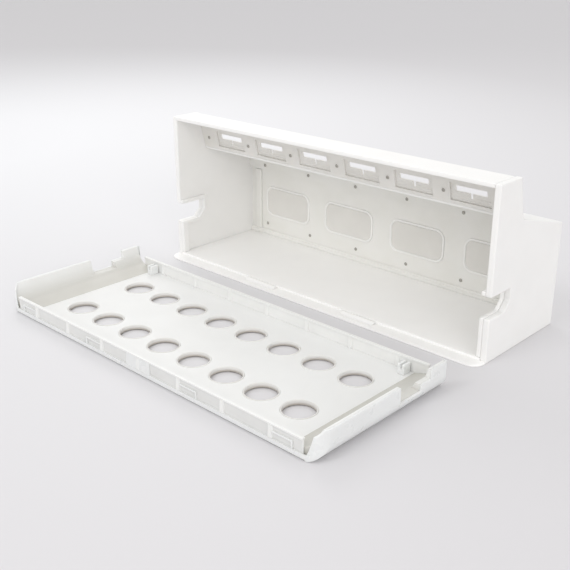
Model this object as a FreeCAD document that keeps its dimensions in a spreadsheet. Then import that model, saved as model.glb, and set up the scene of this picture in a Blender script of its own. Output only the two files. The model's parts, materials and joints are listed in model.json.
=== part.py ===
"""Two-part moulded housing with a loose perforated cover, as a parametric document.

The housing stands open towards -Y. Its cover lies face down in front of it, hollow side up.
Origin: centre of the housing's base. X runs along the length, +Y to the back, +Z up.
Millimetres.
"""
import FreeCAD, Part
import os
import re

import Sketcher

VECTOR = FreeCAD.Vector

SIZES = {
    # housing, overall
    "length": 600, "depth": 172, "height": 236,
    # housing walls
    "wall": 9, "deck": 6, "base": 6, "panel": 3, "rear": 3,
    # stepped profile of the end walls
    "top_depth": 47, "strip_foot": 60, "strip_tall": 51, "eaves_drop": 29,
    # notch in each end wall and the collar round it
    "notch_low": 61, "notch_high": 91, "notch_depth": 47, "notch_slope": 12,
    "collar": 6, "collar_band": 6,
    # floor lip and its two catches
    "lip_reach": 21, "lip_thick": 3, "lip_round": 18,
    "catch_place": 96, "catch_width": 60, "catch_high": 4, "catch_deep": 9,
    # slotted strip, heights above its lower edge
    "slot_count": 6, "slot_pitch": 90, "slot_width": 48, "slot_high": 8, "slot_rise": 23,
    "stem_width": 4, "stem_high": 8,
    "pocket_width": 62, "pocket_rise": 5, "pocket_tall": 26, "pocket_margin": 3, "ledge": 1.6,
    # back panel windows
    "window_count": 4, "window_pitch": 136, "window_width": 102, "window_tall": 54,
    "window_round": 16, "frame_band": 4, "frame_proud": 1.5, "pane": 2,
    # rails and posts on the back panel
    "beam_drop": 10, "beam_tall": 14, "beam_deep": 6,
    "foot_high": 12, "foot_deep": 4, "post_inset": 28, "post_width": 12, "post_deep": 4,
    # screws
    "head_radius": 2.75, "head_high": 1.6, "shank_radius": 1.25, "shank_long": 2.4,
    "strip_screws": 7, "strip_screw_pitch": 92, "strip_screw_rise": 17,
    "back_screws": 6, "back_screw_pitch": 101,
    # cover, overall; it is as wide as the housing is high
    "cover_high": 38, "cover_away": 86,
    "skin": 2.4, "bottom": 4, "low_lip": 7, "cove_round": 21,
    "front_round": 24, "rear_round": 8,
    # cover end walls, heights and distances from the rear edge
    "ear_long": 35, "step_high": 26, "step_long": 20, "gap_high": 17.5, "gap_long": 41,
    "shoulder": 8, "rim_end": 6,
    # cover inside
    "perforated": 3, "cheek_foot": 45, "cheek_rim": 3.4, "cheek_bend": 22,
    "rail_thick": 2.6, "rail_high": 25, "bead_high": 2.4, "bead_proud": 1,
    "rib_count": 7, "rib_pitch": 76.4, "rib_width": 6, "rib_proud": 2.2, "rib_top": 0.8,
    "hole_columns": 8, "hole_pitch": 60.6, "row_spacing": 102, "hole_radius": 20.4,
    "ring_band": 2, "ring_proud": 0.8, "ring_lift": 0.8, "hole_relief": 5,
    "tab_width": 30, "tab_high": 10, "tab_bead": 1.8,
    "pad_width": 46, "pad_top": 0.8,
    "latch_width": 10, "latch_long": 14, "latch_high": 14, "latch_inset": 55,
    # clearances
    "fit_gap": 0.2, "seat_gap": 0.3,
}
WORDS = re.compile(r"\b(" + "|".join(SIZES) + r")\b")

doc = FreeCAD.newDocument("housing")
sheet = doc.addObject("Spreadsheet::Sheet", "dims")
for row, (alias, number) in enumerate(SIZES.items(), start=1):
    sheet.set(f"A{row}", alias)
    sheet.set(f"B{row}", str(number))
    sheet.setAlias(f"B{row}", alias)
doc.recompute()

nodes = []

FRONT = "(-depth / 2)"
HALF = "(length / 2)"
INNER = "(length / 2 - wall)"
STRIP_LOW = "(height - deck - strip_tall)"
EAVES = "(height - deck - strip_tall - eaves_drop)"
COVER_REAR = "(-depth / 2 - cover_away)"
COVER_FRONT = "(-depth / 2 - cover_away - height)"
RAIL_SET = "(skin + fit_gap)"


# ---------------------------------------------------------------- helpers

def bind(thing, prop, text):
    """Tie one property to an expression in the sheet's own words."""
    thing.setExpression(prop, WORDS.sub(r"dims.\1", str(text)))


def name_node(thing, label):
    """Give a finished sub-part its name and put it on the list to be written."""
    thing.Label = label
    nodes.append(thing)
    return thing


def box(x, y, z, along_x, along_y, along_z, title="Block"):
    """A block from its lowest corner and its three sizes."""
    block = doc.addObject("Part::Box", title)
    for prop, text in (("Length", along_x), ("Width", along_y), ("Height", along_z),
                       ("Placement.Base.x", x), ("Placement.Base.y", y), ("Placement.Base.z", z)):
        bind(block, prop, text)
    return block


def cylinder(x, y, z, radius, height, title="Round"):
    """A cylinder standing on its base point."""
    rod = doc.addObject("Part::Cylinder", title)
    for prop, text in (("Radius", radius), ("Height", height), ("Placement.Base.x", x),
                       ("Placement.Base.y", y), ("Placement.Base.z", z)):
        bind(rod, prop, text)
    return rod


def cut(base, tool, title="Cut"):
    result = doc.addObject("Part::Cut", title)
    result.Base, result.Tool = base, tool
    return result


def fuse(shapes, title="Fusion"):
    result = doc.addObject("Part::MultiFuse", title)
    result.Shapes = shapes
    result.Refine = True
    return result


def common(first, second, title="Common"):
    result = doc.addObject("Part::MultiCommon", title)
    result.Shapes = [first, second]
    return result


def group(shapes, title="Set"):
    result = doc.addObject("Part::Compound", title)
    result.Links = shapes
    return result


def origin_plane(body, role):
    return next(item for item in body.Origin.OriginFeatures if item.Role == role)


def draw(body, role, points, offset="0"):
    """A closed polygon on one of a body's own planes, each corner held by two distances."""
    sketch = body.newObject("Sketcher::SketchObject", "Outline")
    sketch.AttachmentSupport = [(origin_plane(body, role), "")]
    sketch.MapMode = "FlatFace"
    bind(sketch, "AttachmentOffset.Base.z", offset)
    count = len(points)
    spots = [VECTOR(i % 3 + i, (i * i) % 5 + i, 0) for i in range(count)]
    for i in range(count):
        sketch.addGeometry(Part.LineSegment(spots[i], spots[(i + 1) % count]), False)
    for i in range(count):
        sketch.addConstraint(Sketcher.Constraint("Coincident", i, 2, (i + 1) % count, 1))
    for i, corner in enumerate(points):
        for kind, place, text in (("DistanceX", spots[i].x, corner[0]), ("DistanceY", spots[i].y, corner[1])):
            number = sketch.addConstraint(Sketcher.Constraint(kind, -1, 1, i, 1, place + 1))
            bind(sketch, f"Constraints[{number}]", text)
    return sketch


def prism(title, role, points, long, offset="0"):
    """A body made by padding a polygon."""
    body = doc.addObject("PartDesign::Body", title)
    sketch = draw(body, role, points, offset)
    pad = body.newObject("PartDesign::Pad", "Pad")
    pad.Profile = sketch
    bind(pad, "Length", long)
    body.Tip = pad
    doc.recompute()
    return body


def round_edges(body, radius, wanted):
    """Round the edges of a body that the test picks by their middle point and direction."""
    base, names = body.Tip, []
    for number, edge in enumerate(base.Shape.Edges, start=1):
        start, end = edge.Vertexes[0].Point, edge.Vertexes[-1].Point
        if wanted((start + end) * 0.5, (end - start).normalize()):
            names.append(f"Edge{number}")
    fillet = body.newObject("PartDesign::Fillet", "Round")
    fillet.Base = (base, names)
    bind(fillet, "Radius", radius)
    body.Tip = fillet
    doc.recompute()
    return body


def upright(direction):
    return abs(direction.z) > 0.99


def spread(count, pitch):
    """Places of evenly spaced items either side of the middle, as expressions."""
    number = SIZES[count]
    return [f"(({i} - ({count} - 1) / 2) * {pitch})" for i in range(number)]


def face_front(thing, x, y, z, lean="0"):
    """Place a thing made upright at the origin so that its top looks to -Y, and down by a lean."""
    thing.Placement = FreeCAD.Placement(VECTOR(0, 0, 0), FreeCAD.Rotation(VECTOR(1, 0, 0), 90))
    for prop, text in (("Placement.Base.x", x), ("Placement.Base.y", y), ("Placement.Base.z", z),
                       ("Placement.Rotation.Angle", f"90 deg + {lean} * 1 deg")):
        bind(thing, prop, text)
    return thing


def screw(x, seat, z, lean="0"):
    """A pan-head screw: its head sits on the plane y = seat and points to the front."""
    head = cylinder("0", "0", "0", "head_radius", "head_high", "Head")
    shank = cylinder("0", "0", "-shank_long", "shank_radius", "shank_long", "Shank")
    return face_front(fuse([head, shank], "Screw"), x, seat, z, lean)


def screw_hole(x, seat, z, lean="0"):
    """The bore that a screw's shank passes into, cut from just in front of its seat."""
    bore = cylinder("0", "0", "-shank_long - fit_gap", "shank_radius + fit_gap / 2",
                    "shank_long + head_high", "Bore")
    return face_front(group([bore], "BoreAt"), x, seat, z, lean)


# ---------------------------------------------------------------- housing shell

STRIP_LEAN = "((strip_foot - top_depth) / strip_tall)"
STRIP_TILT = f"(atan({STRIP_LEAN}) / 1 deg)"
POCKET_LOW = f"({STRIP_LOW} + pocket_rise)"
POCKET_HIGH = f"({STRIP_LOW} + pocket_rise + pocket_tall)"
SLOT_MID = f"({STRIP_LOW} + slot_rise)"
STRIP_SCREW = f"({STRIP_LOW} + strip_screw_rise)"


def strip_face(z):
    """Distance back from the opening to the strip's front face at a height."""
    return f"({FRONT} + top_depth + (height - deck - {z}) * {STRIP_LEAN})"


def end_wall(label, low_x):
    outline = [
        (FRONT, "0"), (FRONT, "notch_low"),
        (f"{FRONT} + notch_depth - notch_slope", "notch_low"),
        (f"{FRONT} + notch_depth", "notch_low + notch_slope"),
        (f"{FRONT} + notch_depth", "notch_high"), (FRONT, "notch_high"),
        (FRONT, "height"), (f"{FRONT} + top_depth + panel", "height"),
        (f"{FRONT} + top_depth + panel", "height - deck"),
        (f"{FRONT} + strip_foot + panel", STRIP_LOW),
        ("depth / 2", EAVES), ("depth / 2", "0"),
    ]
    name_node(prism("EndWall", "YZ_Plane", outline, "wall", low_x), label)


def notch_collar(label, low_x):
    """A thick band that doubles the end wall round its notch and down to the floor."""
    outline = [
        (FRONT, "base"), (FRONT, "notch_low"),
        (f"{FRONT} + notch_depth - notch_slope", "notch_low"),
        (f"{FRONT} + notch_depth", "notch_low + notch_slope"),
        (f"{FRONT} + notch_depth", "notch_high"), (FRONT, "notch_high"),
        (FRONT, "notch_high + collar_band"),
        (f"{FRONT} + notch_depth + collar_band", "notch_high + collar_band"),
        (f"{FRONT} + notch_depth + collar_band", "notch_low + notch_slope - collar_band"),
        (f"{FRONT} + notch_depth - notch_slope + collar_band", "notch_low - collar_band"),
        (f"{FRONT} + collar_band * 2", "notch_low - collar_band"),
        (f"{FRONT} + collar_band * 2", "base"),
    ]
    name_node(prism("Collar", "YZ_Plane", outline, "collar", low_x), label)


def floor_pan():
    floor = box(f"-{INNER}", FRONT, "0", f"2 * {INNER}", "depth - rear", "base", "Floor")
    lip_outline = [(f"-{HALF}", f"{FRONT} - lip_reach"), (HALF, f"{FRONT} - lip_reach"),
                   (HALF, FRONT), (f"-{HALF}", FRONT)]
    lip = prism("Lip", "XY_Plane", lip_outline, "lip_thick")
    front = min(vertex.Y for vertex in lip.Tip.Shape.Vertexes)
    round_edges(lip, "lip_round", lambda middle, way: upright(way) and middle.y < front + 1)
    name_node(fuse([floor, lip], "FloorPan"), "floor_pan")


def floor_catches():
    catches = []
    for side in (-1, 1):
        ramp = [(f"{FRONT} - lip_thick", "lip_thick"),
                (f"{FRONT} - lip_thick - catch_deep", "lip_thick"),
                (f"{FRONT} - lip_thick - catch_deep / 2", "lip_thick + catch_high"),
                (f"{FRONT} - lip_thick", "lip_thick + catch_high")]
        catches.append(prism("Catch", "YZ_Plane", ramp, "catch_width",
                             f"{side} * catch_place - catch_width / 2"))
    name_node(group(catches, "Catches"), "floor_catches")


def top_panel():
    top = prism("Top", "XY_Plane",
                [(f"-{INNER}", FRONT), (INNER, FRONT),
                 (INNER, f"{FRONT} + top_depth + panel"), (f"-{INNER}", f"{FRONT} + top_depth + panel")],
                "deck", "height - deck")
    back = max(vertex.Y for vertex in top.Tip.Shape.Vertexes)
    high = max(vertex.Z for vertex in top.Tip.Shape.Vertexes)
    round_edges(top, "deck * 0.8",
                lambda middle, way: abs(way.x) > 0.99 and middle.y > back - 1 and middle.z > high - 1)
    name_node(top, "top_panel")


def pocket_windows(extra, title):
    """Blocks through the strip where its pockets are, widened by an amount each way."""
    return [box(f"{x} - pocket_width / 2 - {extra}", f"{FRONT} + top_depth - panel",
                f"{POCKET_LOW} - {extra}", f"pocket_width + 2 * {extra}",
                "strip_foot - top_depth + 3 * panel", f"pocket_tall + 2 * {extra}", title)
            for x in spread("slot_count", "slot_pitch")]


def slotted_strip():
    profile = [(strip_face("(height - deck)"), "height - deck"), (strip_face(STRIP_LOW), STRIP_LOW),
               (f"{strip_face(STRIP_LOW)} + panel", STRIP_LOW),
               (f"{strip_face('(height - deck)')} + panel", "height - deck")]
    strip = prism("Strip", "YZ_Plane", profile, f"2 * {INNER}", f"-{INNER}")
    bores = [screw_hole(x, strip_face(STRIP_SCREW), STRIP_SCREW, STRIP_TILT)
             for x in spread("strip_screws", "strip_screw_pitch")]
    name_node(cut(strip, group(pocket_windows("0", "Pocket") + bores, "StripTools"), "Strip"), "slotted_strip")


def slot_plates():
    """Recessed plates behind the strip's pockets, each with one T-shaped slot and two ledges."""
    plates = []
    low, high = f"({POCKET_LOW} - pocket_margin)", f"({POCKET_HIGH} + pocket_margin)"
    for x in spread("slot_count", "slot_pitch"):
        profile = [(f"{strip_face(low)} + panel", low), (f"{strip_face(low)} + 2 * panel", low),
                   (f"{strip_face(high)} + 2 * panel", high), (f"{strip_face(high)} + panel", high)]
        plate = prism("Plate", "YZ_Plane", profile, "pocket_width + 2 * pocket_margin",
                      f"{x} - pocket_width / 2 - pocket_margin")
        slot = box(f"{x} - slot_width / 2", f"{FRONT} + top_depth", f"{SLOT_MID} - slot_high / 2",
                   "slot_width", "strip_foot", "slot_high", "Slot")
        stem = box(f"{x} - stem_width / 2", f"{FRONT} + top_depth",
                   f"{SLOT_MID} - slot_high / 2 - stem_high", "stem_width", "strip_foot", "stem_high", "Stem")
        ledges = []
        for level in (f"({POCKET_LOW} + ledge)", f"({POCKET_LOW} + 4 * ledge)"):
            ledges.append(box(f"{x} - pocket_width / 2 + fit_gap", f"{strip_face(level)} + panel - ledge / 2",
                              level, "pocket_width - 2 * fit_gap", "panel", "ledge", "Ledge"))
        solid = fuse([plate] + ledges, "PlateBody")
        plates.append(cut(solid, fuse([slot, stem], "Tee"), "SlotPlate"))
    name_node(group(plates, "SlotPlates"), "slot_plates")


def rear_roof():
    foot = strip_face(STRIP_LOW)
    profile = [(foot, STRIP_LOW), (f"{foot} + panel", STRIP_LOW),
               ("depth / 2", EAVES), ("depth / 2", f"{EAVES} - 2 * panel"),
               (foot, f"{STRIP_LOW} - panel")]
    name_node(prism("Roof", "YZ_Plane", profile, f"2 * {INNER}", f"-{INNER}"), "rear_roof")


# ---------------------------------------------------------------- back panel

BACK_FACE = "(depth / 2 - rear)"
BEAM_HIGH = f"({EAVES} - beam_drop)"
BEAM_LOW = f"({EAVES} - beam_drop - beam_tall)"
FOOT_TOP = "(base + foot_high * 3 / 4)"
WINDOW_MID = f"(({FOOT_TOP} + {BEAM_LOW} - panel) / 2)"
UPPER_SCREW = f"({BEAM_LOW} + beam_tall / 2)"
LOWER_SCREW = f"({FOOT_TOP} + ({WINDOW_MID} - window_tall / 2 - {FOOT_TOP}) * 0.4)"


def rounded_plate(title, x, inset, back, thick, radius):
    """An upright plate with rounded corners, filling a window less an inset all round."""
    half, rise = f"(window_width / 2 - ({inset}))", f"(window_tall / 2 - ({inset}))"
    outline = [(f"{x} - {half}", f"{WINDOW_MID} - {rise}"), (f"{x} + {half}", f"{WINDOW_MID} - {rise}"),
               (f"{x} + {half}", f"{WINDOW_MID} + {rise}"), (f"{x} - {half}", f"{WINDOW_MID} + {rise}")]
    plate = prism(title, "XZ_Plane", outline, thick, f"-({back})")
    return round_edges(plate, radius, lambda middle, way: abs(way.y) > 0.99)


def back_panel():
    sheet_block = box(f"-{INNER}", BACK_FACE, "0", f"2 * {INNER}", "rear", f"{EAVES} - 2 * panel", "BackSheet")
    tools = [rounded_plate("Opening", x, "0", "depth / 2 + rear", "3 * rear", "window_round")
             for x in spread("window_count", "window_pitch")]
    for x in spread("back_screws", "back_screw_pitch"):
        tools.append(screw_hole(x, BACK_FACE, LOWER_SCREW))
    name_node(cut(sheet_block, group(tools, "BackTools"), "BackPanel"), "back_panel")


def window_frames():
    """Moulded frames that line the window openings and stand a little proud inside."""
    frames = []
    for x in spread("window_count", "window_pitch"):
        outer = rounded_plate("FrameOuter", x, "fit_gap", "depth / 2", "rear + frame_proud",
                              "window_round - fit_gap")
        inner = rounded_plate("FrameInner", x, "frame_band", "depth / 2 + rear", "3 * rear",
                              "window_round - frame_band")
        frames.append(cut(outer, inner, "Frame"))
    name_node(group(frames, "Frames"), "window_frames")


def window_panes():
    for number, x in enumerate(spread("window_count", "window_pitch"), start=1):
        pane = rounded_plate("Pane", x, "frame_band + fit_gap", "depth / 2 - pane", "pane",
                             "window_round - frame_band - fit_gap")
        name_node(pane, f"window_pane_{number}")


def back_rails():
    beam_block = box(f"-{INNER}", f"{BACK_FACE} - beam_deep", BEAM_LOW, f"2 * {INNER}",
                     "beam_deep", "beam_tall", "Beam")
    bead = box(f"-{INNER}", f"{BACK_FACE} - beam_deep / 3", f"{BEAM_LOW} - panel", f"2 * {INNER}",
               "beam_deep / 3", "panel", "Bead")
    bores = [screw_hole(x, f"({BACK_FACE} - beam_deep)", UPPER_SCREW)
             for x in spread("back_screws", "back_screw_pitch")]
    name_node(cut(fuse([beam_block, bead], "BeamBlock"), group(bores, "BeamBores"), "BackBeam"), "back_beam")
    low = box(f"-{INNER}", f"{BACK_FACE} - foot_deep", "base", f"2 * {INNER}",
              "foot_deep", "foot_high / 2", "FootLow")
    high = box(f"-{INNER}", f"{BACK_FACE} - foot_deep / 2", "base + foot_high / 2", f"2 * {INNER}",
               "foot_deep / 2", "foot_high / 4", "FootHigh")
    name_node(fuse([low, high], "BackFoot"), "back_foot_rail")


def corner_post(label, side):
    post = box(f"{side} * ({HALF} - post_inset) - post_width / 2", f"{BACK_FACE} - post_deep", FOOT_TOP,
               "post_width", "post_deep", f"{BEAM_LOW} - panel - {FOOT_TOP}", "Post")
    name_node(post, label)


def screws():
    strip_set = [screw(x, strip_face(STRIP_SCREW), STRIP_SCREW, STRIP_TILT)
                 for x in spread("strip_screws", "strip_screw_pitch")]
    name_node(group(strip_set, "StripScrews"), "strip_screws")
    upper = [screw(x, f"({BACK_FACE} - beam_deep)", UPPER_SCREW)
             for x in spread("back_screws", "back_screw_pitch")]
    name_node(group(upper, "UpperScrews"), "back_upper_screws")
    lower = [screw(x, BACK_FACE, LOWER_SCREW) for x in spread("back_screws", "back_screw_pitch")]
    name_node(group(lower, "LowerScrews"), "back_lower_screws")


# ---------------------------------------------------------------- cover

def cover_form(inset, raised, height_above):
    """The cover's outer form less a wall: coved underneath at the ends, rounded in plan."""
    half = f"({HALF} - {inset})"
    section = prism("Section", "XZ_Plane",
                    [(f"-{half}", raised), (half, raised), (half, height_above), (f"-{half}", height_above)],
                    "height", "depth / 2 + cover_away")
    low = min(vertex.Z for vertex in section.Tip.Shape.Vertexes)
    round_edges(section, f"cove_round - {inset}",
                lambda middle, way: abs(way.y) > 0.99 and middle.z < low + 1)
    plan = prism("Plan", "XY_Plane",
                 [(f"-{half}", f"{COVER_FRONT} + {inset}"), (half, f"{COVER_FRONT} + {inset}"),
                  (half, f"{COVER_REAR} - {inset}"), (f"-{half}", f"{COVER_REAR} - {inset}")],
                 "3 * cover_high", "-cover_high")
    front = min(vertex.Y for vertex in plan.Tip.Shape.Vertexes)
    round_edges(plan, f"front_round - {inset}",
                lambda middle, way: upright(way) and middle.y < front + 1)
    round_edges(plan, f"rear_round - {inset}",
                lambda middle, way: upright(way) and middle.y > front + 60)
    return common(section, plan, "Form")


def end_profile():
    """Side view of the cover's end walls, from the rear ear over the notch to the front shoulder."""
    ear, step, gap = "ear_long", "(ear_long + step_long)", "(ear_long + step_long + gap_long)"
    return [(f"{COVER_REAR} + 1", "-1"), (f"{COVER_REAR} + 1", "low_lip"),
            (f"{COVER_REAR} - skin", "low_lip"), (f"{COVER_REAR} - skin", "cover_high"),
            (f"{COVER_REAR} - {ear}", "cover_high"), (f"{COVER_REAR} - {ear}", "step_high"),
            (f"{COVER_REAR} - {step}", "step_high"), (f"{COVER_REAR} - {step}", "gap_high"),
            (f"{COVER_REAR} - {gap}", "gap_high"), (f"{COVER_REAR} - {gap}", "cover_high"),
            (f"{COVER_FRONT} + rim_end + shoulder", "cover_high"),
            (f"{COVER_FRONT} + rim_end", "cover_high - shoulder"),
            (f"{COVER_FRONT} + rim_end - panel", "low_lip"),
            (f"{COVER_FRONT} - 1", "low_lip"), (f"{COVER_FRONT} - 1", "-1")]


def hole_places():
    middle = "(-depth / 2 - cover_away - height / 2)"
    return [(x, f"({middle} + {side} * row_spacing / 2)")
            for side in (-1, 1) for x in spread("hole_columns", "hole_pitch")]


def hole_tools(radius):
    return [cylinder(x, y, "-bottom", radius, "4 * bottom + perforated", title="Hole")
            for x, y in hole_places()]


def cover_skin():
    outer = cover_form("0", "0", "cover_high")
    inner = cover_form("skin", "bottom", "2 * cover_high")
    side_view = prism("SideView", "YZ_Plane", end_profile(), "length + 2 * wall", "-length / 2 - wall")
    shell = common(cut(outer, inner, "Shell"), side_view, "ShellSides")
    holes = fuse(hole_tools("hole_radius + ring_band + hole_relief"), "SkinHoles")
    name_node(cut(shell, holes, "CoverSkin"), "cover_skin")


def cover_deck():
    edge = f"({RAIL_SET} + rail_thick)"
    plate = box(f"-{HALF} + cheek_foot", f"{COVER_FRONT} + {edge}", "bottom",
                "length - 2 * cheek_foot", f"height - 2 * {edge}", "perforated", "Plate")
    holes = group(hole_tools("hole_radius + ring_band + fit_gap"), "DeckHoles")
    name_node(cut(plate, holes, "CoverDeck"), "cover_deck")


def hole_rings():
    rings = []
    for x, y in hole_places():
        outer = cylinder(x, y, "ring_lift", "hole_radius + ring_band",
                         "bottom + perforated + ring_proud - ring_lift", title="Ring")
        bore = cylinder(x, y, "-bottom", "hole_radius", "4 * bottom + perforated", title="RingBore")
        rings.append(cut(outer, bore, "HoleRing"))
    name_node(group(rings, "HoleRings"), "hole_rings")


def cover_cheek(label, side):
    """Coved filler between the deck and an end wall, cut to the end wall's side view and plan."""
    outline = [(f"{side} * ({HALF} - cheek_foot)", "bottom"),
               (f"{side} * ({HALF} - cheek_foot)", "bottom + perforated"),
               (f"{side} * ({HALF} - skin - cheek_rim * 3)", "cheek_bend * 0.75"),
               (f"{side} * ({HALF} - skin - cheek_rim)", "cover_high"),
               (f"{side} * {HALF}", "cover_high"), (f"{side} * {HALF}", "bottom")]
    set_in = f"({RAIL_SET} + rail_thick + fit_gap)"
    cheek = prism("Cheek", "XZ_Plane", outline, f"height - 2 * {set_in}",
                  f"depth / 2 + cover_away + {set_in}")
    bend = SIZES["cheek_bend"] * 0.75
    round_edges(cheek, "cheek_bend",
                lambda middle, way: abs(way.y) > 0.99 and abs(middle.z - bend) < 2)
    side_view = prism("CheekView", "YZ_Plane", end_profile(), "length + 2 * wall", "-length / 2 - wall")
    room = cover_form("(skin + seat_gap)", "bottom + fit_gap", "2 * cover_high")
    name_node(common(common(cheek, side_view, "CheekSides"), room, "CoverCheek"), label)


def cover_rail(label, low_y):
    """A long low wall with a bead along its top and cross ribs at even places."""
    long = f"({HALF} - front_round)"
    parts = [box(f"-{long}", low_y, "bottom", f"2 * {long}", "rail_thick", "rail_high - bottom", "RailWall"),
             box(f"-{long}", f"{low_y} - bead_proud", "rail_high - bead_high", f"2 * {long}",
                 "rail_thick + 2 * bead_proud", "bead_high", "RailBead")]
    high_y = f"{low_y} + rail_thick"
    side_view = [(f"{low_y} - rib_proud", "low_lip"), (f"{high_y} + rib_proud", "low_lip"),
                 (f"{high_y} + rib_top", "rail_high"), (f"{low_y} - rib_top", "rail_high")]
    for x in spread("rib_count", "rib_pitch"):
        parts.append(prism("Rib", "YZ_Plane", side_view, "rib_width", f"{x} - rib_width / 2"))
    name_node(fuse(parts, "Rail"), label)


def cover_tabs():
    """Bracket tabs on the outside of the long walls, each beside a rib, away from the middle."""
    tabs = []
    walls = (f"{COVER_FRONT} + {RAIL_SET} - rib_proud", f"{COVER_REAR} - {RAIL_SET}")
    for low_y in walls:
        for side in (-1, 1):
            for rib in (1, 3):
                middle = f"({side} * ({rib} * rib_pitch + rib_width / 2 + tab_width / 2 + fit_gap))"
                block = box(f"{middle} - tab_width / 2", low_y, "low_lip", "tab_width", "rib_proud",
                            "tab_high", "TabBlock")
                hollow = box(f"{middle} - tab_width / 2 + {0 if side > 0 else 1} * tab_bead - "
                             f"{1 if side > 0 else 0} * fit_gap",
                             f"{low_y} - fit_gap", "low_lip - fit_gap", "tab_width - tab_bead + fit_gap",
                             "rib_proud + 2 * fit_gap", "tab_high - tab_bead + fit_gap", "TabHollow")
                tabs.append(cut(block, hollow, "Tab"))
    name_node(group(tabs, "Tabs"), "cover_tabs")


def centre_pad():
    """A push pad in the middle of the front wall, its face sloping in towards the top."""
    wall_face = f"({COVER_FRONT} + {RAIL_SET})"
    side_view = [(f"{wall_face} - rib_proud", "low_lip"), (wall_face, "low_lip"),
                 (wall_face, "rail_high - bead_high"), (f"{wall_face} - pad_top", "rail_high - bead_high")]
    half = "(pad_width / 2 - rib_width / 2 - fit_gap)"
    halves = [prism("Pad", "YZ_Plane", side_view, half, low_x)
              for low_x in ("-pad_width / 2", "rib_width / 2 + fit_gap")]
    name_node(group(halves, "Pads"), "cover_centre_pad")


def corner_latches():
    """Small forked posts on the deck, against the rear rail, one near each end."""
    latches = []
    for side in (-1, 1):
        middle = f"({side} * ({HALF} - latch_inset))"
        low_y = f"{COVER_REAR} - {RAIL_SET} - rail_thick - rib_proud - latch_long"
        block = box(f"{middle} - latch_width / 2", low_y, "bottom + perforated", "latch_width", "latch_long",
                    "latch_high", "Latch")
        slit = box(f"{middle} - latch_width / 6", f"{low_y} - 1",
                   "bottom + perforated + latch_high / 2", "latch_width / 3", "latch_long + 2",
                   "latch_high", "Slit")
        latches.append(cut(block, slit, "LatchFork"))
    name_node(group(latches, "Latches"), "corner_latches")


# ---------------------------------------------------------------- build and write

def build_housing():
    floor_pan()
    floor_catches()
    end_wall("left_end_wall", f"-{HALF}")
    end_wall("right_end_wall", INNER)
    notch_collar("left_notch_collar", f"-{INNER}")
    notch_collar("right_notch_collar", f"{INNER} - collar")
    top_panel()
    slotted_strip()
    slot_plates()
    rear_roof()
    back_panel()
    window_frames()
    window_panes()
    back_rails()
    corner_post("left_corner_post", -1)
    corner_post("right_corner_post", 1)
    screws()


def build_cover():
    cover_skin()
    cover_deck()
    hole_rings()
    cover_cheek("left_cover_cheek", -1)
    cover_cheek("right_cover_cheek", 1)
    cover_rail("cover_front_rail", f"{COVER_FRONT} + {RAIL_SET}")
    cover_rail("cover_rear_rail", f"{COVER_REAR} - {RAIL_SET} - rail_thick")
    cover_tabs()
    centre_pad()
    corner_latches()


def check():
    """Stop if any object failed or any sub-part has no sound shape."""
    for thing in doc.Objects:
        if "Invalid" in thing.State or "Error" in thing.State:
            raise RuntimeError(f"{thing.Name} ({thing.Label}) is {thing.State}")
    for thing in nodes:
        if thing.Shape.isNull() or not thing.Shape.isValid() or not thing.Shape.Solids:
            raise RuntimeError(f"{thing.Label} has no sound shape")


build_housing()
build_cover()
doc.recompute()
check()

os.makedirs("parts", exist_ok=True)
for node in nodes:
    node.Shape.exportStep(f"parts/{node.Label}.step")
    extent = node.Shape.BoundBox
    print(f"{node.Label:22s} solids {len(node.Shape.Solids):3d}  "
          f"x {extent.XMin:7.1f} {extent.XMax:7.1f}  y {extent.YMin:7.1f} {extent.YMax:7.1f}  "
          f"z {extent.ZMin:6.1f} {extent.ZMax:6.1f}")
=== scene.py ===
# %% [markdown]
# # An open-fronted moulded housing and its perforated cover
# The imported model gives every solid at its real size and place. This lesson adds what the
# real object has beyond that: corners rounded by the mould, plastics that take light as
# plastic does, pressed screw heads, turned-in hole rims, and soft light on a pale table.

# %% Load the frame
import json
import math
import bpy
from mathutils import Matrix, Quaternion, Vector


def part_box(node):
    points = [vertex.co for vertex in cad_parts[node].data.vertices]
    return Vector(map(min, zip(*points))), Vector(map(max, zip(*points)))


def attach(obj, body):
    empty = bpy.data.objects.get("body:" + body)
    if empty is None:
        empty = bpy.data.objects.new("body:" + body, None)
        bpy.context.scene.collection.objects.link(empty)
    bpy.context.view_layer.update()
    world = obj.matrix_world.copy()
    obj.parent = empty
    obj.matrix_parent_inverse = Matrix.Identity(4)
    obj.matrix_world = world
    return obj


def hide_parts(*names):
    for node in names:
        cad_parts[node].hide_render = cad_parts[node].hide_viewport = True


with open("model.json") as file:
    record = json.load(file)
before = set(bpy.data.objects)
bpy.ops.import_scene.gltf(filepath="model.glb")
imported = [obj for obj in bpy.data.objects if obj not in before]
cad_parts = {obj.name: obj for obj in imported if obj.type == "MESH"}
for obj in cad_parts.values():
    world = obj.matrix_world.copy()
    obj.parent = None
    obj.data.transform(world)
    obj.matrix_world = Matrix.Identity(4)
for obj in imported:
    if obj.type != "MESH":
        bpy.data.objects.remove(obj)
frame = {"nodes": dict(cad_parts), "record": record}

MM = 0.001
scene = bpy.context.scene
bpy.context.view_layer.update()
slot_of = {part["node"]: part["material_slot"] for part in frame["record"]["subparts"]}
body_of = {node: body
           for body, nodes in frame["record"]["behaviour"]["bodies"].items()
           for node in nodes}

# %% [markdown]
# ## Camera
# The viewer stands in front of the right end, a little above the housing, and looks down
# across the cover. A wide lens near by would make the right end loom, so this is a long
# lens from about 1.4 m. A quaternion holds the three turns without their order mattering.

# %% Camera
FILM_WIDTH = 36  # millimetres, as the lens length is


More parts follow.
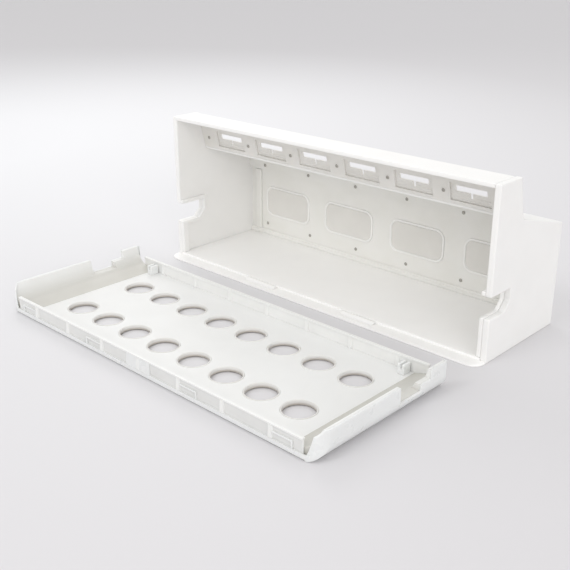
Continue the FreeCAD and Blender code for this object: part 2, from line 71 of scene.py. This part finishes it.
def make_camera(place, turn_degrees, down_degrees, roll_degrees, lens, shift):
    data = bpy.data.cameras.new("Camera")
    camera = bpy.data.objects.new("Camera", data)
    scene.collection.objects.link(camera)
    turn, down = math.radians(turn_degrees), math.radians(down_degrees)
    ahead = Vector((math.sin(turn) * math.cos(down), math.cos(turn) * math.cos(down),
                    -math.sin(down)))
    facing = ahead.to_track_quat("-Z", "Y") @ Quaternion((0, 0, 1), math.radians(roll_degrees))
    camera.location = place
    camera.rotation_mode = "QUATERNION"
    camera.rotation_quaternion = facing
    data.lens, data.sensor_width = lens, FILM_WIDTH
    data.shift_x, data.shift_y = shift
    data.clip_start, data.clip_end = 0.01, 50
    scene.camera = camera
    return camera


camera = make_camera((0.8063, -0.9931, 0.5176), turn_degrees=-43.74, down_degrees=21.38,
                     roll_degrees=-0.15, lens=55.8, shift=(0.0089, -0.0186))
print("camera at", [round(v, 3) for v in camera.location])

# %% [markdown]
# ## How a material is put together
# Each finish is a node tree. Four helpers keep the trees readable. One turns an sRGB hex
# colour into the linear numbers that shaders use. One adds a node with its settings, its
# plain values and its incoming links in a single line. One starts an empty material, and
# one turns a number into a colour between two others.

# %% Colour and node helpers
def linear(code):
    parts = [int(code[i:i + 2], 16) / 255 for i in (1, 3, 5)]
    return [v / 12.92 if v <= 0.04045 else ((v + 0.055) / 1.055) ** 2.4 for v in parts] + [1]


def add_node(tree, kind, values=(), links=(), **settings):
    node = tree.nodes.new(kind)
    for name, value in settings.items():
        setattr(node, name, value)
    for socket, value in dict(values).items():
        node.inputs[socket].default_value = value
    for socket, source in dict(links).items():
        tree.links.new(source, node.inputs[socket])
    return node


def empty_material(name):
    material = bpy.data.materials.new(name)
    material.use_nodes = True
    tree = material.node_tree
    tree.nodes.clear()
    place = add_node(tree, "ShaderNodeTexCoord").outputs["Object"]
    return material, tree, place


def two_colours(tree, source, first, last, start=0.0, end=1.0):
    """Turn a number into a colour between two hex colours."""
    ramp = add_node(tree, "ShaderNodeValToRGB", links={"Fac": source})
    ends = ramp.color_ramp.elements
    ends[0].position, ends[1].position = start, end
    ends[0].color, ends[1].color = linear(first), linear(last)
    return ramp


print("white #FFFFFF is", linear("#FFFFFF"))

# %% [markdown]
# ## Moulded plastic
# Housing, liners and cover are injection-moulded polypropylene. A mould leaves three
# things to see: broad pale clouds where the melt cooled unevenly, a fine texture from the
# spark-eroded steel, and a satin skin whose gloss varies a little. One image could not
# follow so many pieces without seams, so three noises in object space do it: clouds of a
# few centimetres in the colour, smears of a centimetre in the roughness, and a grain of
# about a millimetre in the bump. The real grain is near 0.1 mm, too fine to be seen from
# here, so it is drawn coarser. The plastic also lets some light in, which softens shade,
# and where it is thin some light goes right through it, which a share of Translucent
# gives. At the foot of some pieces the colour is painted greyer up to a stated height:
# painted shade, where little light reaches.

# %% Moulded plastic, one recipe for every piece
CLOUD, SMEAR, GRAIN = 45 * MM, 12 * MM, 1.1 * MM
DEEP_BELOW, PALE_ABOVE = 0.35, 0.65
GLOSS_SPREAD = 0.04
LIGHT_INSIDE, LIGHT_REACH = 0.12, 3 * MM
POLYPROPYLENE_IOR = 1.49
MIX_FACTOR, MIX_A, MIX_B, MIX_RESULT = 0, 6, 7, 2  # a colour Mix node's own socket numbers


def moulded_plastic(name, pale, deep, rough, grain_depth=0.025 * MM, through=0.0, foot=None):
    """Through is the share of light let right through; foot is painted shade: a colour and two
    heights.
    """
    material, tree, place = empty_material("polypropylene, " + name)
    cloud = add_node(tree, "ShaderNodeTexNoise",
                     {"Scale": 1 / CLOUD, "Detail": 3, "Roughness": 0.55}, {"Vector": place})
    smear = add_node(tree, "ShaderNodeTexNoise", {"Scale": 1 / SMEAR, "Detail": 2},
                     {"Vector": place})
    grain = add_node(tree, "ShaderNodeTexNoise", {"Scale": 1 / GRAIN, "Detail": 2},
                     {"Vector": place})
    colour = two_colours(tree, cloud.outputs["Fac"], deep, pale, DEEP_BELOW, PALE_ABOVE)
    tint = colour.outputs["Color"]
    # painted shade: the colour greys towards the piece's foot, below the higher of the two heights
    if foot:
        foot_shade_colour, foot_shade_low, foot_shade_high = foot
        height = add_node(tree, "ShaderNodeSeparateXYZ", links={"Vector": place}).outputs["Z"]
        rise = add_node(tree, "ShaderNodeMapRange", {"From Min": foot_shade_low, "From Max": foot_shade_high},
                        {"Value": height}, interpolation_type="SMOOTHSTEP")
        foot_shade_blend = add_node(tree, "ShaderNodeMix", {MIX_A: linear(foot_shade_colour)},
                         {MIX_FACTOR: rise.outputs["Result"], MIX_B: tint}, data_type="RGBA")
        tint = foot_shade_blend.outputs[MIX_RESULT]
    gloss = add_node(tree, "ShaderNodeMapRange",
                     {"From Min": 0.3, "From Max": 0.7, "To Min": rough - GLOSS_SPREAD,
                      "To Max": rough + GLOSS_SPREAD}, {"Value": smear.outputs["Fac"]})
    bump = add_node(tree, "ShaderNodeBump", {"Strength": 0.35, "Distance": grain_depth},
                    {"Height": grain.outputs["Fac"]})
    shader = add_node(tree, "ShaderNodeBsdfPrincipled",
                      {"IOR": POLYPROPYLENE_IOR, "Subsurface Weight": LIGHT_INSIDE,
                       "Subsurface Radius": (1.0, 0.95, 0.9), "Subsurface Scale": LIGHT_REACH},
                      {"Base Color": tint, "Roughness": gloss.outputs["Result"],
                       "Normal": bump.outputs["Normal"]})
    surface = shader.outputs["BSDF"]
    if through:
        lit = add_node(tree, "ShaderNodeBsdfTranslucent",
                       links={"Color": tint, "Normal": bump.outputs["Normal"]})
        surface = add_node(tree, "ShaderNodeMixShader", {0: through},
                           {1: surface, 2: lit.outputs["BSDF"]}).outputs["Shader"]
    add_node(tree, "ShaderNodeOutputMaterial", links={"Surface": surface})
    return material


finishes = {
    # satin white outer shell of the housing
    "housing_shell": moulded_plastic("moulded white shell", "#F5F4F2", "#F3F2F0", 0.42),
    # the inner panels are a warmer, duller white
    "housing_liner": moulded_plastic("moulded warm liner", "#F2F1ED", "#EFEEE9", 0.48),
    # window panes: thin sheet with a frosted face, rougher and grainier; its greyer colour is
    # painted shade of the recess it sits in
    "window_pane": moulded_plastic("frosted sheet, painted shade", "#E8E6E1", "#E4E2DD", 0.6,
                                   grain_depth=0.12 * MM),
    # the cover's shell is thin and milky: light passes through it
    "cover_shell": moulded_plastic("thin milky shell", "#F8F9F8", "#F6F7F6", 0.3,
                                   through=0.15),
    "cover_liner": moulded_plastic("moulded bright liner", "#F8F8F6", "#F6F6F4", 0.4,
                                   through=0.12),
    # painted shade: the rims inside the holes are coloured browner towards their foot, where
    # little light gets in
    "cover_ring": moulded_plastic("hole rim, painted foot shade", "#F8F7F4", "#F4F2EE", 0.5, through=0.2,
                                  foot=("#CBC4BA", 1.2 * MM, 5.6 * MM)),
}
# painted shade: the bays between the ribs take a greyer colour for the shade on them
front_bay_painted_shade = moulded_plastic("grey bay, painted shade", "#E6E6E4", "#E2E2E0", 0.35, through=0.06)
rear_bay_painted_shade = moulded_plastic("pale bay, painted shade", "#F3F3F1", "#EFEFED", 0.35, through=0.06)
# painted shade: the slotted strip and its plates are coloured a shade duller than the panels
# behind them, for the shade of the top panel above them
strip_plastic_painted_shade = moulded_plastic("strip, painted shade", "#E9E7E3", "#E5E3DE", 0.5)
# painted light: the floor pan is coloured the brightest face of the housing, for the light falling
# on it through the open front
floor_plastic_painted_light = moulded_plastic("floor, painted light", "#FCFBF9", "#FAF9F7", 0.4)
# painted light: the window frames stand a little proud, and their whiter colour stands in for the
# light they catch
frame_plastic_painted_light = moulded_plastic("frame, painted light", "#FBFAF7", "#F8F7F4", 0.38)
# painted shade: the cheeks' colour greys towards the deck, for the shade gathered at their foot
cheek_plastic_painted_shade = moulded_plastic("cheek, painted foot shade", "#EFEFED", "#ECECEA", 0.4,
                                foot=("#C9C7C0", 8 * MM, 34 * MM))
print("plastics", sorted(finishes))

# %% [markdown]
# ## Plated screws
# The small pan-head screws are zinc-plated steel. Plating is bright but never a mirror: it
# is a crystalline skin with a faint grey bloom. So the metal gets a mid roughness, broken
# by a sub-millimetre noise, and keeps the default IOR.

# %% Zinc plate
CRYSTAL = 0.6 * MM


def zinc_plate():
    material, tree, place = empty_material("steel, zinc plated")
    bloom = add_node(tree, "ShaderNodeTexNoise", {"Scale": 1 / CRYSTAL, "Detail": 3},
                     {"Vector": place})
    colour = two_colours(tree, bloom.outputs["Fac"], "#A5A29C", "#C5C2BC")
    gloss = add_node(tree, "ShaderNodeMapRange", {"To Min": 0.28, "To Max": 0.55},
                     {"Value": bloom.outputs["Fac"]})
    bump = add_node(tree, "ShaderNodeBump", {"Strength": 0.3, "Distance": 0.03 * MM},
                    {"Height": bloom.outputs["Fac"]})
    shader = add_node(tree, "ShaderNodeBsdfPrincipled", {"Metallic": 0.85},
                      {"Base Color": colour.outputs["Color"], "Roughness": gloss.outputs["Result"],
                       "Normal": bump.outputs["Normal"]})
    add_node(tree, "ShaderNodeOutputMaterial", links={"Surface": shader.outputs["BSDF"]})
    return material


finishes["screw_steel"] = zinc_plate()
print("metal", finishes["screw_steel"].name)

# %% [markdown]
# ## Handling pieces
# Operators act on what is selected, so each step first selects one piece alone. A finished
# piece rides on its body, takes its slot's finish and may stand for a CAD node.

# %% Select, finish and apply helpers
def select_only(piece):
    if bpy.context.object and bpy.context.object.mode != "OBJECT":
        bpy.ops.object.mode_set(mode="OBJECT")
    bpy.ops.object.select_all(action="DESELECT")
    piece.select_set(True)
    bpy.context.view_layer.objects.active = piece


def edit(piece, action):
    """Run some mesh operators on the whole of one piece."""
    select_only(piece)
    bpy.ops.object.mode_set(mode="EDIT")
    bpy.ops.mesh.select_all(action="SELECT")
    action()
    bpy.ops.object.mode_set(mode="OBJECT")


def apply_modifier(piece, kind, **settings):
    select_only(piece)
    modifier = piece.modifiers.new(kind.title(), kind)
    for name, value in settings.items():
        setattr(modifier, name, value)
    bpy.ops.object.modifier_apply(modifier=modifier.name)


def smooth(piece, degrees):
    """Shade a piece smooth, but keep every edge sharp that turns by more than this."""
    select_only(piece)
    bpy.ops.object.shade_smooth_by_angle(angle=math.radians(degrees))


def settle(piece, node):
    """Give a piece the body, slot and finish of a CAD node, and let it stand for that node."""
    if not piece.data.materials:
        piece.data.materials.append(finishes[slot_of[node]])
    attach(piece, body_of[node])
    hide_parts(node)
    return piece


# %% [markdown]
# ## Corners as a mould leaves them
# The CAD solids have knife edges, and nothing moulded does: steel cutters and shrinkage
# leave at least half a millimetre of round. It could be done by hand on every edge, but a
# Bevel modifier on a merged copy does it evenly. The copy's loose triangles are welded and
# flat ones joined, so that the bevel sees real edges only. Weighted normals then keep the
# flats flat while the small rounds catch the light. The cover's shell is only welded:
# joining its flats and bevelling them leaves lumps, and the next step cuts its foot anyway.

# %% Soften one node
WELD = 0.01 * MM
FLAT_TURN, REAL_TURN = 0.6, 38
BEVEL_STEPS = 2
SMOOTH_ROUNDED, SMOOTH_SHELL = 45, 15


def weld():
    bpy.ops.mesh.remove_doubles(threshold=WELD)


def weld_and_join():
    weld()
    bpy.ops.mesh.dissolve_limited(angle_limit=math.radians(FLAT_TURN))


def soften(node, round_mm):
    """A moulded copy of a node, with its edges rounded unless the radius is nought."""
    piece = bpy.data.objects.new(node + "_moulded", frame["nodes"][node].data.copy())
    scene.collection.objects.link(piece)
    piece.data.materials.clear()
    if round_mm:
        edit(piece, weld_and_join)
        apply_modifier(piece, "BEVEL", width=round_mm * MM, segments=BEVEL_STEPS,
                       limit_method="ANGLE", angle_limit=math.radians(REAL_TURN),
                       use_clamp_overlap=True)
        smooth(piece, SMOOTH_ROUNDED)
        apply_modifier(piece, "WEIGHTED_NORMAL", keep_sharp=True)
    else:
        edit(piece, weld)
        smooth(piece, SMOOTH_SHELL)
    return settle(piece, node)


rounds = {
    "floor_pan": 0.9, "floor_catches": 1.0, "left_end_wall": 1.6, "right_end_wall": 1.6,
    "left_notch_collar": 1.4, "right_notch_collar": 1.4, "top_panel": 1.4, "slotted_strip": 0.8,
    "slot_plates": 0.5, "rear_roof": 0.9, "back_panel": 0.6, "window_frames": 1.2,
    "back_beam": 1.2, "back_foot_rail": 0.9, "left_corner_post": 1.2, "right_corner_post": 1.2,
    "window_pane_1": 0.5, "window_pane_2": 0.5, "window_pane_3": 0.5, "window_pane_4": 0.5,
    "cover_skin": 0, "cover_deck": 0.7, "left_cover_cheek": 1.0, "right_cover_cheek": 1.0,
    "cover_front_rail": 0.5, "cover_rear_rail": 0.5, "cover_tabs": 0.5, "cover_centre_pad": 0.6,
    "corner_latches": 0.9,
}
pieces = {node: soften(node, round_mm) for node, round_mm in rounds.items()}
for node, finish in (("left_cover_cheek", cheek_plastic_painted_shade), ("right_cover_cheek", cheek_plastic_painted_shade),
                     ("slotted_strip", strip_plastic_painted_shade), ("slot_plates", strip_plastic_painted_shade),
                     ("window_frames", frame_plastic_painted_light), ("floor_pan", floor_plastic_painted_light)):
    pieces[node].data.materials[0] = finish
for node, piece in pieces.items():
    print(f"{piece.name:28s} {len(piece.data.polygons):6d} faces")

# %% [markdown]
# ## The undercut foot of the cover
# The cover does not end in a sharp corner on the table. Its outline steps in just above
# the ground, so that a thin dark line runs under it all round. A cut through the shell at
# that height gives a new ring of points, and the points on the ground then move inwards
# along the wall's own direction. The hole edges are further in, and stay. The shell's
# shading follows a small angle, or the shallow step would look like a crack.

# %% Undercut
FOOT_HIGH, FOOT_IN, RIM_ZONE = 2.2 * MM, 6.5 * MM, 12 * MM
WALL_TILT = 0.3
NEAR = 0.1 * MM


def undercut(piece):
    low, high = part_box("cover_skin")
    middle = (low + high) / 2

    def cut():
        bpy.ops.mesh.bisect(plane_co=(0, 0, low.z + FOOT_HIGH), plane_no=(0, 0, 1))

    edit(piece, cut)
    outward = {}
    for face in piece.data.polygons:
        if abs(face.normal.z) < WALL_TILT:
            for index in face.vertices:
                outward.setdefault(index, Vector()).xy += face.normal.xy * face.area
    moved = 0
    for index, normal in outward.items():
        point = piece.data.vertices[index].co
        from_edge = min(point.x - low.x, high.x - point.x, point.y - low.y, high.y - point.y)
        on_outline = from_edge < RIM_ZONE and normal.dot(point - middle) > 0
        if point.z < low.z + NEAR and on_outline:
            point.xy -= normal.xy.normalized() * FOOT_IN
            moved += 1
    smooth(piece, SMOOTH_SHELL)
    apply_modifier(piece, "WEIGHTED_NORMAL", keep_sharp=True)
    return moved


print("foot points moved", undercut(pieces["cover_skin"]))

# %% [markdown]
# ## Shaded bays in the cover's long walls
# Between its ribs each long wall is thin, and its flat faces are painted greyer than the
# ribs and the bead: painted shade, as less light reaches the bays than the ribs. A second
# piece for it would leave a seam; instead the flat faces on the wall's own two planes get a
# second material, found by where their middles lie.

# %% Grey bays
WALL_THICK = 2.6 * MM
FACING = 0.95


def grey_bays(node, shaded_bay_finish):
    piece = pieces[node]
    low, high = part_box(node)
    middle = (low.y + high.y) / 2
    piece.data.materials.append(shaded_bay_finish)
    count = 0
    for face in piece.data.polygons:
        away = abs(abs(face.center.y - middle) - WALL_THICK / 2)
        if abs(face.normal.y) > FACING and away < NEAR:
            face.material_index = 1
            count += 1
    print(node, "bay faces", count)


grey_bays("cover_front_rail", front_bay_painted_shade)
grey_bays("cover_rear_rail", rear_bay_painted_shade)

# %% [markdown]
# ## Hole rims
# Each hole has a turned-in rim: a short tube with a rolled top edge that leads the eye and
# a hand in. A boolean would leave hard corners, so one rim is drawn as a small closed
# profile, spun round the hole's axis, welded, and copied to the sixteen places.

# %% One hole rim, spun from its profile
HOLE, BAND = 20.4 * MM, 2.0 * MM
RIM_TURNS, SMOOTH_RIM = 72, 50
SEAM = 0.001 * MM
ring_low, ring_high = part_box("hole_rings")


def spun(name, profile, turns):
    """A closed ring: a line of (radius, height) points turned once round Z."""
    mesh = bpy.data.meshes.new(name)
    mesh.from_pydata([(radius, 0, height) for radius, height in profile],
                     [(i, i + 1) for i in range(len(profile) - 1)], [])
    piece = bpy.data.objects.new(name, mesh)
    scene.collection.objects.link(piece)

    def turn():
        bpy.ops.mesh.spin(steps=turns, angle=2 * math.pi, center=(0, 0, 0), axis=(0, 0, 1))
        bpy.ops.mesh.select_all(action="SELECT")
        bpy.ops.mesh.remove_doubles(threshold=SEAM)
        bpy.ops.mesh.normals_make_consistent(inside=False)

    edit(piece, turn)
    return piece


rim_high = ring_high.z - ring_low.z
rim_profile = [
    # the foot, and up the inside
    (HOLE + 0.9 * MM, 0), (HOLE + 0.3 * MM, 0.3 * MM), (HOLE, 1.0 * MM),
    (HOLE, rim_high - 1.3 * MM),
    # over the rolled top edge
    (HOLE + 0.25 * MM, rim_high - 0.6 * MM), (HOLE + 0.75 * MM, rim_high - 0.15 * MM),
    (HOLE + 1.1 * MM, rim_high), (HOLE + 1.5 * MM, rim_high - 0.12 * MM),
    # down the outside, and back to the first point
    (HOLE + BAND, rim_high - 0.55 * MM), (HOLE + BAND, 0.3 * MM), (HOLE + BAND - 0.3 * MM, 0),
    (HOLE + 0.9 * MM, 0),
]
rim = spun("hole_rim", rim_profile, RIM_TURNS)
smooth(rim, SMOOTH_RIM)
print("rim faces", len(rim.data.polygons))

# %% Copy the rim to every hole
def copy_to(master, name, place, turn=Quaternion()):
    """A copy with its own mesh, moved in its mesh so that its object stays at the origin."""
    piece = bpy.data.objects.new(name, master.data.copy())
    scene.collection.objects.link(piece)
    piece.data.transform(Matrix.Translation(place) @ turn.to_matrix().to_4x4())
    return piece


PITCH, ROWS, COLUMNS = 60.6 * MM, 102 * MM, 8
row_middle = (ring_low.y + ring_high.y) / 2
number = 0
for row in (-0.5, 0.5):
    for column in range(COLUMNS):
        number += 1
        place = Vector(((column - (COLUMNS - 1) / 2) * PITCH, row_middle + row * ROWS, ring_low.z))
        settle(copy_to(rim, f"hole_rim_{number:02d}", place), "hole_rings")
bpy.data.objects.remove(rim)
print("rims", number)

# %% [markdown]
# ## Screws
# A pan-head screw is a low dome with a cross recess. The dome is spun; the cross is cut by
# two crossed tapered bars, as the punch makes it. One screw is finished, then copied to
# the strip (where it leans with the strip) and to the two rows on the back.

# %% One screw
HEAD, HEAD_HIGH = 2.75 * MM, 1.6 * MM
HEAD_TURNS, SMOOTH_HEAD = 28, 35
RECESS_LONG, RECESS_WIDE, RECESS_DEEP, RECESS_TAPER = 3.0 * MM, 0.75 * MM, 1.5 * MM, 0.55
dome = [(0, HEAD_HIGH), (HEAD * 0.45, HEAD_HIGH * 0.95), (HEAD * 0.78, HEAD_HIGH * 0.72),
        (HEAD * 0.95, HEAD_HIGH * 0.4), (HEAD, 0.15 * MM), (HEAD * 0.97, 0), (0, 0)]
screw = spun("screw", dome, HEAD_TURNS)


def punch(along_x, along_y):
    bpy.ops.object.select_all(action="DESELECT")
    bpy.ops.mesh.primitive_cube_add(size=1, location=(0, 0, HEAD_HIGH))
    bar = bpy.context.object
    bar.scale = (along_x, along_y, RECESS_DEEP)
    bpy.ops.object.transform_apply(location=True, rotation=False, scale=True)
    for corner in bar.data.vertices:
        if corner.co.z < HEAD_HIGH:
            corner.co.x *= RECESS_TAPER
            corner.co.y *= RECESS_TAPER
    return bar


for bar in (punch(RECESS_LONG, RECESS_WIDE), punch(RECESS_WIDE, RECESS_LONG)):
    apply_modifier(screw, "BOOLEAN", object=bar, operation="DIFFERENCE", solver="EXACT")
    bpy.data.objects.remove(bar)
smooth(screw, SMOOTH_HEAD)
print("screw faces", len(screw.data.polygons))

# %% Copy the screws to their seats
STRIP_PITCH, BACK_PITCH = 92 * MM, 101 * MM
STRIP_SEAT_HIGH = 196 * MM
LEAN_BACK, LEAN_UP = 13, 51  # the strip leans back by the first over a rise of the second
FIRST_DRIVE, NEXT_DRIVE = 11, 23  # degrees, so that no two recesses next to each other line up


def row_of_screws(node, count, pitch, seat, lean_degrees=0):
    turn = Quaternion((1, 0, 0), math.radians(90 + lean_degrees))
    for i in range(count):
        place = Vector(((i - (count - 1) / 2) * pitch, seat[0], seat[1]))
        drive = Quaternion((0, 0, 1), math.radians(NEXT_DRIVE * i + FIRST_DRIVE))
        settle(copy_to(screw, f"{node}_{i + 1}", place, turn @ drive), node)


strip_low, strip_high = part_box("slotted_strip")
strip_seat = (strip_low.y + (strip_high.z - STRIP_SEAT_HIGH) * LEAN_BACK / LEAN_UP,
              STRIP_SEAT_HIGH)
row_of_screws("strip_screws", 7, STRIP_PITCH, strip_seat,
              math.degrees(math.atan(LEAN_BACK / LEAN_UP)))
for node in ("back_upper_screws", "back_lower_screws"):
    low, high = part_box(node)
    row_of_screws(node, 6, BACK_PITCH, (low.y + HEAD_HIGH, (low.z + high.z) / 2))
bpy.data.objects.remove(screw)
print("screws placed")

# %% [markdown]
# ## Table and light
# The object stands on white studio paper, wide enough that its edges are out of the
# camera's view. The paper's colour is painted a shade brighter to the left, where the main
# lamp stands: a painted pool of light, whose colour follows the distance from a spot there.
# Most of the light is an even white surround. A broad lamp behind the left end throws the
# soft shadow to the right. A weak one high above reaches the tops, a wide one in front
# reaches into the open housing, and a large fill on the right lights the right end.

# %% Paper
# painted light: the paper's colour is brightest within a spot on the left, where the main lamp
# stands, and dulls further away
PAINTED_LIGHT_SPOT, PAINTED_LIGHT_WITHIN, PAINTED_LIGHT_GONE_BEYOND = (-1.4, 0.1, 0), 0.3, 2.0
FIBRE = 3 * MM
PAPER_ACROSS = 30


def studio_paper():
    material, tree, place = empty_material("paper, studio roll, painted light pool")
    away = add_node(tree, "ShaderNodeVectorMath", {1: PAINTED_LIGHT_SPOT}, {0: place},
                    operation="DISTANCE")
    painted_light_falloff = add_node(tree, "ShaderNodeMapRange",
                     {"From Min": PAINTED_LIGHT_WITHIN, "From Max": PAINTED_LIGHT_GONE_BEYOND},
                     {"Value": away.outputs["Value"]})
    fibre = add_node(tree, "ShaderNodeTexNoise", {"Scale": 1 / FIBRE, "Detail": 3},
                     {"Vector": place})
    shade = two_colours(tree, painted_light_falloff.outputs["Result"], "#EAEAEC", "#D8D6D8")
    bump = add_node(tree, "ShaderNodeBump", {"Strength": 0.1, "Distance": 0.1 * MM},
                    {"Height": fibre.outputs["Fac"]})
    shader = add_node(tree, "ShaderNodeBsdfPrincipled",
                      {"Roughness": 0.55, "Specular IOR Level": 0.3},
                      {"Base Color": shade.outputs["Color"], "Normal": bump.outputs["Normal"]})
    add_node(tree, "ShaderNodeOutputMaterial", links={"Surface": shader.outputs["BSDF"]})
    return material


bpy.ops.object.select_all(action="DESELECT")
bpy.ops.mesh.primitive_plane_add(size=PAPER_ACROSS, location=(0, 0, 0))
floor = bpy.context.object
floor.name = "floor"
floor.data.materials.append(studio_paper())
print("floor", floor.dimensions[:])

# %% Surround and lamps
SURROUND_STRENGTH = 0.86
world = bpy.data.worlds.new("World")
scene.world = world
world.use_nodes = True
surround = world.node_tree.nodes["Background"]
surround.inputs["Color"].default_value = (1, 1, 1, 1)
surround.inputs["Strength"].default_value = SURROUND_STRENGTH


def lamp(name, place, aim, across, watts):
    data = bpy.data.lights.new(name, "AREA")
    data.shape, data.size, data.energy = "DISK", across, watts
    holder = bpy.data.objects.new(name, data)
    scene.collection.objects.link(holder)
    holder.location = place
    holder.rotation_mode = "QUATERNION"
    holder.rotation_quaternion = (Vector(aim) - Vector(place)).to_track_quat("-Z", "Y")


lamp("main lamp", (-1.5, 0.9, 1.5), aim=(0, -0.15, 0.05), across=1.3, watts=7)
lamp("top lamp", (0.2, -0.3, 4.0), aim=(0.1, -0.2, 0), across=1.6, watts=3)
lamp("front lamp", (-0.5, -3.2, 3.4), aim=(0, -0.1, 0), across=2.0, watts=32)
lamp("right fill", (4.4, -2.8, 1.8), aim=(-0.1, 0, 0.1), across=3.0, watts=56)
scene.view_settings.view_transform = "Standard"
